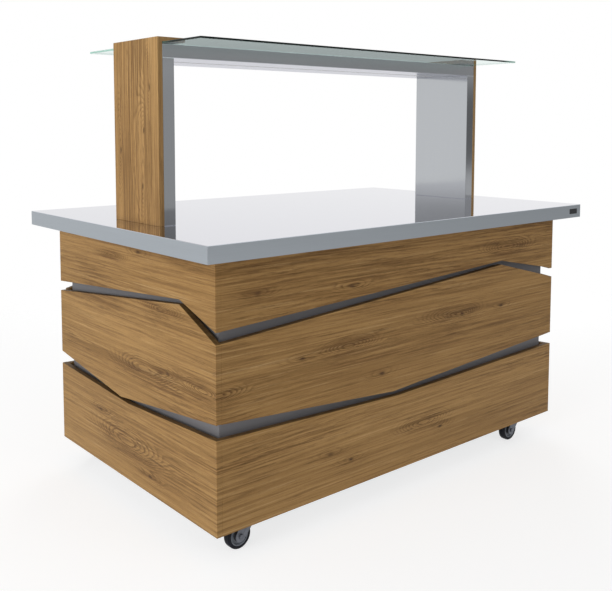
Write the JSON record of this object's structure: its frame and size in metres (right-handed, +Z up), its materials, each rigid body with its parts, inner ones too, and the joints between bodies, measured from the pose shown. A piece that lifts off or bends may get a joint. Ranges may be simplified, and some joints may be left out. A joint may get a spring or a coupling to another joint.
{
  "type": "mobile serving counter",
  "caption": "Wheeled serving counter: overhanging steel worktop on a boarded cabinet, with a steel portal that carries a glass shelf over the worktop.",
  "frame": {"origin": "on the floor, under the centre of the worktop", "axes": "+X along the counter to the right seen from its front, -Y the front, +Z up"},
  "size_m": [1.72, 1.11, 1.463],
  "materials": {
    "aluminium": "mill finish",
    "badge": "dark blank plate",
    "black_paint": "semi-gloss black",
    "black_plastic": "moulded black",
    "brushed_steel": "fine satin",
    "copper_line": "bare copper",
    "core_board": "raw board",
    "frame_steel": "mill finish, welded",
    "glass": "clear toughened glass, green edge",
    "hidden_wood": "raw softwood",
    "light_lens": "opal lens",
    "oiled_wood": "oiled, horizontal grain on the cladding, upright grain on the portal",
    "polished_steel": "polished, low roughness",
    "soft_pads": "pale soft pad",
    "switch_plastic": "moulded black, glossy",
    "tyre": "black rubber",
    "wheel_grey": "moulded grey",
    "zinc_steel": "bright zinc plate"
  },
  "bodies": {
    "root": {"badge_plate": "badge", "base_plate": "frame_steel", "base_rails": "frame_steel", "beam": "polished_steel", "body_sheets_end": "brushed_steel", "body_sheets_long": "brushed_steel", "cable_gland": "black_plastic", "caster_bolts": "zinc_steel", "caster_heads": "zinc_steel", "cladding_battens": "hidden_wood", "cladding_lower_back": "oiled_wood", "cladding_lower_front": "oiled_wood", "cladding_lower_left": "oiled_wood", "cladding_lower_right": "oiled_wood", "cladding_middle_back": "oiled_wood", "cladding_middle_front": "oiled_wood", "cladding_middle_left": "oiled_wood", "cladding_middle_right": "oiled_wood", "cladding_top_back": "oiled_wood", "cladding_top_front": "oiled_wood", "cladding_top_left": "oiled_wood", "cladding_top_right": "oiled_wood", "cold_plate": "aluminium", "compressor": "black_paint", "condenser": "aluminium", "glass_pads": "soft_pads", "glass_shelf": "glass", "light_bar": "light_lens", "portal_board_left": "oiled_wood", "portal_board_right": "oiled_wood", "portal_bolts": "zinc_steel", "post_caps": "oiled_wood", "post_left": "polished_steel", "post_right": "polished_steel", "refrigerant_lines": "copper_line", "switch_frame": "black_plastic", "top_rails": "frame_steel", "uprights": "frame_steel", "worktop_core": "core_board", "worktop_skin": "polished_steel"},
    "swivel_front_left": {"caster_fork_front_left": "zinc_steel", "caster_axle_front_left": "zinc_steel"},
    "wheel_front_left": {"caster_core_front_left": "wheel_grey", "caster_tyre_front_left": "tyre"},
    "swivel_front_right": {"caster_fork_front_right": "zinc_steel", "caster_axle_front_right": "zinc_steel"},
    "wheel_front_right": {"caster_core_front_right": "wheel_grey", "caster_tyre_front_right": "tyre"},
    "swivel_back_left": {"caster_fork_back_left": "zinc_steel", "caster_axle_back_left": "zinc_steel"},
    "wheel_back_left": {"caster_core_back_left": "wheel_grey", "caster_tyre_back_left": "tyre"},
    "pedal_back_left": {"brake_pedal_back_left": "black_paint"},
    "swivel_back_right": {"caster_fork_back_right": "zinc_steel", "caster_axle_back_right": "zinc_steel"},
    "wheel_back_right": {"caster_core_back_right": "wheel_grey", "caster_tyre_back_right": "tyre"},
    "pedal_back_right": {"brake_pedal_back_right": "black_paint"},
    "fan": {"fan_rotor": "black_plastic"},
    "switch": {"rocker_switch": "switch_plastic"}
  },
  "joints": [
    {"name": "caster_swivel_front_left", "type": "hinge", "parent": "root", "child": "swivel_front_left", "pos_m": [-0.641, -0.4265, 0.0964], "axis": [0, 0, 1], "continuous": true},
    {"name": "wheel_roll_front_left", "type": "hinge", "parent": "swivel_front_left", "child": "wheel_front_left", "pos_m": [-0.68, -0.4265, 0.04], "axis": [0, 1, 0], "continuous": true},
    {"name": "caster_swivel_front_right", "type": "hinge", "parent": "root", "child": "swivel_front_right", "pos_m": [0.641, -0.4265, 0.0964], "axis": [0, 0, 1], "continuous": true},
    {"name": "wheel_roll_front_right", "type": "hinge", "parent": "swivel_front_right", "child": "wheel_front_right", "pos_m": [0.602, -0.4265, 0.04], "axis": [0, 1, 0], "continuous": true},
    {"name": "caster_swivel_back_left", "type": "hinge", "parent": "root", "child": "swivel_back_left", "pos_m": [-0.641, 0.4265, 0.0964], "axis": [0, 0, 1], "continuous": true},
    {"name": "wheel_roll_back_left", "type": "hinge", "parent": "swivel_back_left", "child": "wheel_back_left", "pos_m": [-0.68, 0.4265, 0.04], "axis": [0, 1, 0], "continuous": true},
    {"name": "brake_press_back_left", "type": "hinge", "parent": "swivel_back_left", "child": "pedal_back_left", "pos_m": [-0.71394, 0.4265, 0.07394], "axis": [0, -1, 0], "range_deg": [0, 15]},
    {"name": "caster_swivel_back_right", "type": "hinge", "parent": "root", "child": "swivel_back_right", "pos_m": [0.641, 0.4265, 0.0964], "axis": [0, 0, 1], "continuous": true},
    {"name": "wheel_roll_back_right", "type": "hinge", "parent": "swivel_back_right", "child": "wheel_back_right", "pos_m": [0.602, 0.4265, 0.04], "axis": [0, 1, 0], "continuous": true},
    {"name": "brake_press_back_right", "type": "hinge", "parent": "swivel_back_right", "child": "pedal_back_right", "pos_m": [0.56806, 0.4265, 0.07394], "axis": [0, -1, 0], "range_deg": [0, 15]},
    {"name": "fan_spin", "type": "hinge", "parent": "root", "child": "fan", "pos_m": [0.509, 0, 0.283], "axis": [1, 0, 0], "continuous": true},
    {"name": "switch_rock", "type": "hinge", "parent": "root", "child": "switch", "pos_m": [0.688, 0.446, 0.3712], "axis": [0, 0, -1], "range_deg": [0, 16]}
  ]
}
